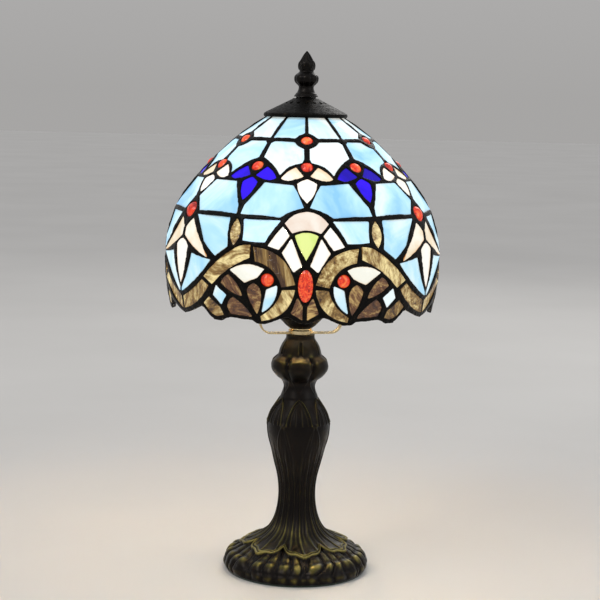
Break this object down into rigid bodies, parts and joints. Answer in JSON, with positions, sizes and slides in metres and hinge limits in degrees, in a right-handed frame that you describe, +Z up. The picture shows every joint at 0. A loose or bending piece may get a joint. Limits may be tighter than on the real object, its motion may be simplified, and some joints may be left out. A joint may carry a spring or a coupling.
{
  "type": "table lamp",
  "caption": "Table lamp: domed leaded-glass shade with a scalloped rim on a harp over a cast vase-shaped stem and leafy round foot, with bulb, holder, vented cap and finial.",
  "frame": {"origin": "on the table under the lamp's axis, at the middle of the foot's underside", "axes": "+Z up along the stem, -Y towards the front, where an oval jewel of the shade faces, +X to the right seen from the front"},
  "size_m": [0.2072, 0.2083, 0.396],
  "materials": {
    "glass_sky": "wispy opalescent",
    "glass_cream": "wispy opalescent",
    "glass_white": "wispy opalescent",
    "glass_cobalt": "smooth cathedral",
    "glass_red": "pressed cabochon",
    "glass_pink": "wispy opalescent",
    "glass_green": "smooth cathedral",
    "glass_brown": "rippled",
    "glass_amber": "rippled",
    "solder": "dark patina",
    "cast_bronze": "antique bronze over cast metal",
    "dark_bronze": "dark bronze",
    "brass": "satin",
    "steel": "zinc plated",
    "felt": "felt",
    "black_plastic": "moulded",
    "bulb_glass": "frosted",
    "cap_metal": "rolled",
    "tungsten": "glowing wire"
  },
  "bodies": {
    "lamp": {"felt_pad": "felt", "foot_casting": "cast_bronze", "stem_casting": "cast_bronze", "cord_bushing": "black_plastic", "threaded_pipe": "steel", "pipe_washer": "steel", "pipe_nut_lower": "steel", "harp": "brass", "harp_stud": "brass", "neck_ring": "brass", "socket_cup": "dark_bronze", "pipe_nut_upper": "steel", "lampholder_body": "black_plastic", "screw_shell": "brass", "centre_contact": "brass", "terminal_screws": "steel"},
    "bulb_carrier": {"bulb_contact": "steel"},
    "bulb": {"bulb_insulator": "black_plastic", "bulb_screw_cap": "cap_metal", "bulb_glass": "bulb_glass", "bulb_stem": "bulb_glass", "bulb_filament": "tungsten"},
    "finial_carrier": {"finial_washer": "brass"},
    "finial": {"finial": "dark_bronze"},
    "shade": {"cap": "dark_bronze", "shade_collar": "brass", "solder_lattice": "solder", "crown_panels": "glass_sky", "shoulder_panels": "glass_sky", "ring_jewels": "glass_red", "fleur_jewels": "glass_red", "white_fleur_petals": "glass_cream", "blue_fleur_petals": "glass_cobalt", "white_fleur_drops": "glass_white", "blue_fleur_drops": "glass_cobalt", "waist_panels": "glass_sky", "fan_caps": "glass_pink", "fan_wedges": "glass_green", "fan_sides": "glass_white", "oval_jewels": "glass_red", "amber_tips": "glass_amber", "belt_panels": "glass_sky", "almonds": "glass_brown", "large_jewels": "glass_red", "large_fleur_petals": "glass_cream", "large_fleur_leaves": "glass_sky", "crescents": "glass_brown", "curl_jewels": "glass_red", "curl_fans": "glass_white", "curl_drops": "glass_amber", "curl_diamonds": "glass_sky", "curl_slivers": "glass_sky", "curl_corners": "glass_brown"}
  },
  "joints": [
    {"name": "bulb_rise", "type": "slide", "parent": "lamp", "child": "bulb_carrier", "axis": [0, 0, 1], "range_m": [0, 0.0108]},
    {"name": "bulb_turn", "type": "hinge", "parent": "bulb_carrier", "child": "bulb", "pos_m": [0, 0, 0.2044], "axis": [0, 0, 1], "range_deg": [0, 1080]},
    {"name": "finial_rise", "type": "slide", "parent": "lamp", "child": "finial_carrier", "axis": [0, 0, 1], "range_m": [0, 0.0075]},
    {"name": "finial_turn", "type": "hinge", "parent": "finial_carrier", "child": "finial", "pos_m": [0, 0, 0.361], "axis": [0, 0, 1], "range_deg": [0, 2880]},
    {"name": "shade_turn", "type": "hinge", "parent": "lamp", "child": "shade", "pos_m": [0, 0, 0.3455], "axis": [0, 0, 1], "continuous": true}
  ],
  "couplings": [
    {"joint": "bulb_turn", "follows": "bulb_rise", "rad_per_m": 1735.7},
    {"joint": "finial_turn", "follows": "finial_rise", "rad_per_m": 6684.2}
  ]
}
